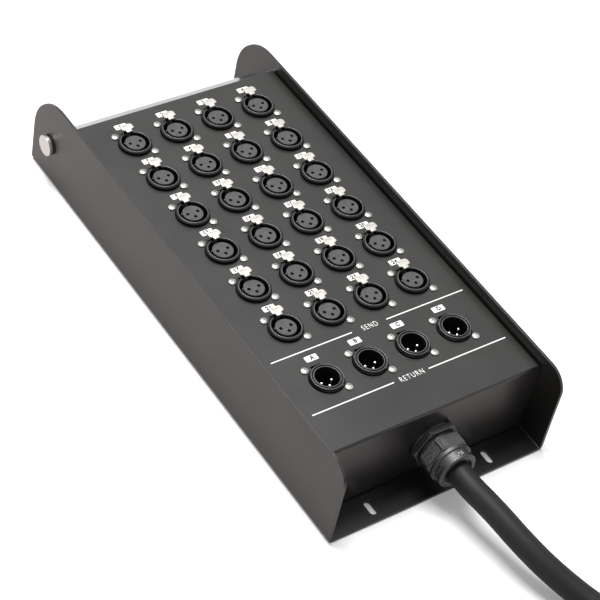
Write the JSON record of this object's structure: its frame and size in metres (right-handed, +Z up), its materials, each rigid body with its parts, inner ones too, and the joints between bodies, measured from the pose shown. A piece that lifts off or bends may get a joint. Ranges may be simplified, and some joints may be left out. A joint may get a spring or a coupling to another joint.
{
  "type": "stage box snake",
  "caption": "Low folded steel stage box with latching round audio sockets, return plugs, side plates, a carry bar and a folded multicore cable with its trunk connector.",
  "frame": {"origin": "on the ground at the middle of the tray", "axes": "+Y from the cable gland towards the carry bar, +X to the right seen from the gland's end, +Z up"},
  "size_m": [0.2164, 1.0294, 0.1171],
  "materials": {
    "box_steel": "satin powder coat",
    "nickel": "satin nickel",
    "latch_nickel": "satin nickel",
    "polished_bar": "polished",
    "brushed_bolt": "brushed",
    "connector_black": "gloss black",
    "insert_grey": "moulded",
    "contact_metal": "bright",
    "black_nylon": "moulded",
    "seal_rubber": "matt",
    "cable_jacket": "matt",
    "pair_jackets": "soft",
    "tie_fabric": "hook and loop",
    "hood_metal": "die cast"
  },
  "bodies": {
    "box": {"base_tray": "box_steel", "top_cover": "box_steel", "cover_screws": "nickel", "cover_nuts": "nickel", "handle_bar": "polished_bar", "handle_bolts": "brushed_bolt", "handle_washers": "black_nylon", "female_shells": "connector_black", "female_inserts": "insert_grey", "female_contacts": "contact_metal", "latch_pins": "nickel", "latch_springs": "nickel", "male_shells": "connector_black", "male_inserts": "black_nylon", "male_pins": "contact_metal", "connector_screws": "nickel", "connector_nuts": "nickel", "gland_washer": "black_nylon", "gland_body": "black_nylon", "gland_nut": "black_nylon", "gland_seal": "seal_rubber", "gland_locknut": "black_nylon", "inner_cable": "cable_jacket", "wiring_loom": "pair_jackets", "multicore_cable": "cable_jacket", "cable_coil": "cable_jacket", "cable_tail": "cable_jacket", "coil_ties": "tie_fabric", "trunk_hood": "hood_metal", "trunk_gland": "black_nylon", "trunk_insert": "insert_grey"},
    "push_latch_01": {"latch_01": "latch_nickel"},
    "push_latch_02": {"latch_02": "latch_nickel"},
    "push_latch_03": {"latch_03": "latch_nickel"},
    "push_latch_04": {"latch_04": "latch_nickel"},
    "push_latch_05": {"latch_05": "latch_nickel"},
    "push_latch_06": {"latch_06": "latch_nickel"},
    "push_latch_07": {"latch_07": "latch_nickel"},
    "push_latch_08": {"latch_08": "latch_nickel"},
    "push_latch_09": {"latch_09": "latch_nickel"},
    "push_latch_10": {"latch_10": "latch_nickel"},
    "push_latch_11": {"latch_11": "latch_nickel"},
    "push_latch_12": {"latch_12": "latch_nickel"},
    "push_latch_13": {"latch_13": "latch_nickel"},
    "push_latch_14": {"latch_14": "latch_nickel"},
    "push_latch_15": {"latch_15": "latch_nickel"},
    "push_latch_16": {"latch_16": "latch_nickel"},
    "push_latch_17": {"latch_17": "latch_nickel"},
    "push_latch_18": {"latch_18": "latch_nickel"},
    "push_latch_19": {"latch_19": "latch_nickel"},
    "push_latch_20": {"latch_20": "latch_nickel"},
    "push_latch_21": {"latch_21": "latch_nickel"},
    "push_latch_22": {"latch_22": "latch_nickel"},
    "push_latch_23": {"latch_23": "latch_nickel"},
    "push_latch_24": {"latch_24": "latch_nickel"}
  },
  "joints": [
    {"name": "press_01", "type": "hinge", "parent": "box", "child": "push_latch_01", "pos_m": [-0.0525, 0.1338, 0.056], "axis": [-1, 0, 0], "range_deg": [0, 6], "stiffness_Nm_per_rad": 0.05, "springref_deg": -5.73},
    {"name": "press_02", "type": "hinge", "parent": "box", "child": "push_latch_02", "pos_m": [-0.0175, 0.1338, 0.056], "axis": [-1, 0, 0], "range_deg": [0, 6], "stiffness_Nm_per_rad": 0.05, "springref_deg": -5.73},
    {"name": "press_03", "type": "hinge", "parent": "box", "child": "push_latch_03", "pos_m": [0.0175, 0.1338, 0.056], "axis": [-1, 0, 0], "range_deg": [0, 6], "stiffness_Nm_per_rad": 0.05, "springref_deg": -5.73},
    {"name": "press_04", "type": "hinge", "parent": "box", "child": "push_latch_04", "pos_m": [0.0525, 0.1338, 0.056], "axis": [-1, 0, 0], "range_deg": [0, 6], "stiffness_Nm_per_rad": 0.05, "springref_deg": -5.73},
    {"name": "press_05", "type": "hinge", "parent": "box", "child": "push_latch_05", "pos_m": [-0.0525, 0.0943, 0.056], "axis": [-1, 0, 0], "range_deg": [0, 6], "stiffness_Nm_per_rad": 0.05, "springref_deg": -5.73},
    {"name": "press_06", "type": "hinge", "parent": "box", "child": "push_latch_06", "pos_m": [-0.0175, 0.0943, 0.056], "axis": [-1, 0, 0], "range_deg": [0, 6], "stiffness_Nm_per_rad": 0.05, "springref_deg": -5.73},
    {"name": "press_07", "type": "hinge", "parent": "box", "child": "push_latch_07", "pos_m": [0.0175, 0.0943, 0.056], "axis": [-1, 0, 0], "range_deg": [0, 6], "stiffness_Nm_per_rad": 0.05, "springref_deg": -5.73},
    {"name": "press_08", "type": "hinge", "parent": "box", "child": "push_latch_08", "pos_m": [0.0525, 0.0943, 0.056], "axis": [-1, 0, 0], "range_deg": [0, 6], "stiffness_Nm_per_rad": 0.05, "springref_deg": -5.73},
    {"name": "press_09", "type": "hinge", "parent": "box", "child": "push_latch_09", "pos_m": [-0.0525, 0.0548, 0.056], "axis": [-1, 0, 0], "range_deg": [0, 6], "stiffness_Nm_per_rad": 0.05, "springref_deg": -5.73},
    {"name": "press_10", "type": "hinge", "parent": "box", "child": "push_latch_10", "pos_m": [-0.0175, 0.0548, 0.056], "axis": [-1, 0, 0], "range_deg": [0, 6], "stiffness_Nm_per_rad": 0.05, "springref_deg": -5.73},
    {"name": "press_11", "type": "hinge", "parent": "box", "child": "push_latch_11", "pos_m": [0.0175, 0.0548, 0.056], "axis": [-1, 0, 0], "range_deg": [0, 6], "stiffness_Nm_per_rad": 0.05, "springref_deg": -5.73},
    {"name": "press_12", "type": "hinge", "parent": "box", "child": "push_latch_12", "pos_m": [0.0525, 0.0548, 0.056], "axis": [-1, 0, 0], "range_deg": [0, 6], "stiffness_Nm_per_rad": 0.05, "springref_deg": -5.73},
    {"name": "press_13", "type": "hinge", "parent": "box", "child": "push_latch_13", "pos_m": [-0.0525, 0.0153, 0.056], "axis": [-1, 0, 0], "range_deg": [0, 6], "stiffness_Nm_per_rad": 0.05, "springref_deg": -5.73},
    {"name": "press_14", "type": "hinge", "parent": "box", "child": "push_latch_14", "pos_m": [-0.0175, 0.0153, 0.056], "axis": [-1, 0, 0], "range_deg": [0, 6], "stiffness_Nm_per_rad": 0.05, "springref_deg": -5.73},
    {"name": "press_15", "type": "hinge", "parent": "box", "child": "push_latch_15", "pos_m": [0.0175, 0.0153, 0.056], "axis": [-1, 0, 0], "range_deg": [0, 6], "stiffness_Nm_per_rad": 0.05, "springref_deg": -5.73},
    {"name": "press_16", "type": "hinge", "parent": "box", "child": "push_latch_16", "pos_m": [0.0525, 0.0153, 0.056], "axis": [-1, 0, 0], "range_deg": [0, 6], "stiffness_Nm_per_rad": 0.05, "springref_deg": -5.73},
    {"name": "press_17", "type": "hinge", "parent": "box", "child": "push_latch_17", "pos_m": [-0.0525, -0.0242, 0.056], "axis": [-1, 0, 0], "range_deg": [0, 6], "stiffness_Nm_per_rad": 0.05, "springref_deg": -5.73},
    {"name": "press_18", "type": "hinge", "parent": "box", "child": "push_latch_18", "pos_m": [-0.0175, -0.0242, 0.056], "axis": [-1, 0, 0], "range_deg": [0, 6], "stiffness_Nm_per_rad": 0.05, "springref_deg": -5.73},
    {"name": "press_19", "type": "hinge", "parent": "box", "child": "push_latch_19", "pos_m": [0.0175, -0.0242, 0.056], "axis": [-1, 0, 0], "range_deg": [0, 6], "stiffness_Nm_per_rad": 0.05, "springref_deg": -5.73},
    {"name": "press_20", "type": "hinge", "parent": "box", "child": "push_latch_20", "pos_m": [0.0525, -0.0242, 0.056], "axis": [-1, 0, 0], "range_deg": [0, 6], "stiffness_Nm_per_rad": 0.05, "springref_deg": -5.73},
    {"name": "press_21", "type": "hinge", "parent": "box", "child": "push_latch_21", "pos_m": [-0.0525, -0.0637, 0.056], "axis": [-1, 0, 0], "range_deg": [0, 6], "stiffness_Nm_per_rad": 0.05, "springref_deg": -5.73},
    {"name": "press_22", "type": "hinge", "parent": "box", "child": "push_latch_22", "pos_m": [-0.0175, -0.0637, 0.056], "axis": [-1, 0, 0], "range_deg": [0, 6], "stiffness_Nm_per_rad": 0.05, "springref_deg": -5.73},
    {"name": "press_23", "type": "hinge", "parent": "box", "child": "push_latch_23", "pos_m": [0.0175, -0.0637, 0.056], "axis": [-1, 0, 0], "range_deg": [0, 6], "stiffness_Nm_per_rad": 0.05, "springref_deg": -5.73},
    {"name": "press_24", "type": "hinge", "parent": "box", "child": "push_latch_24", "pos_m": [0.0525, -0.0637, 0.056], "axis": [-1, 0, 0], "range_deg": [0, 6], "stiffness_Nm_per_rad": 0.05, "springref_deg": -5.73}
  ]
}
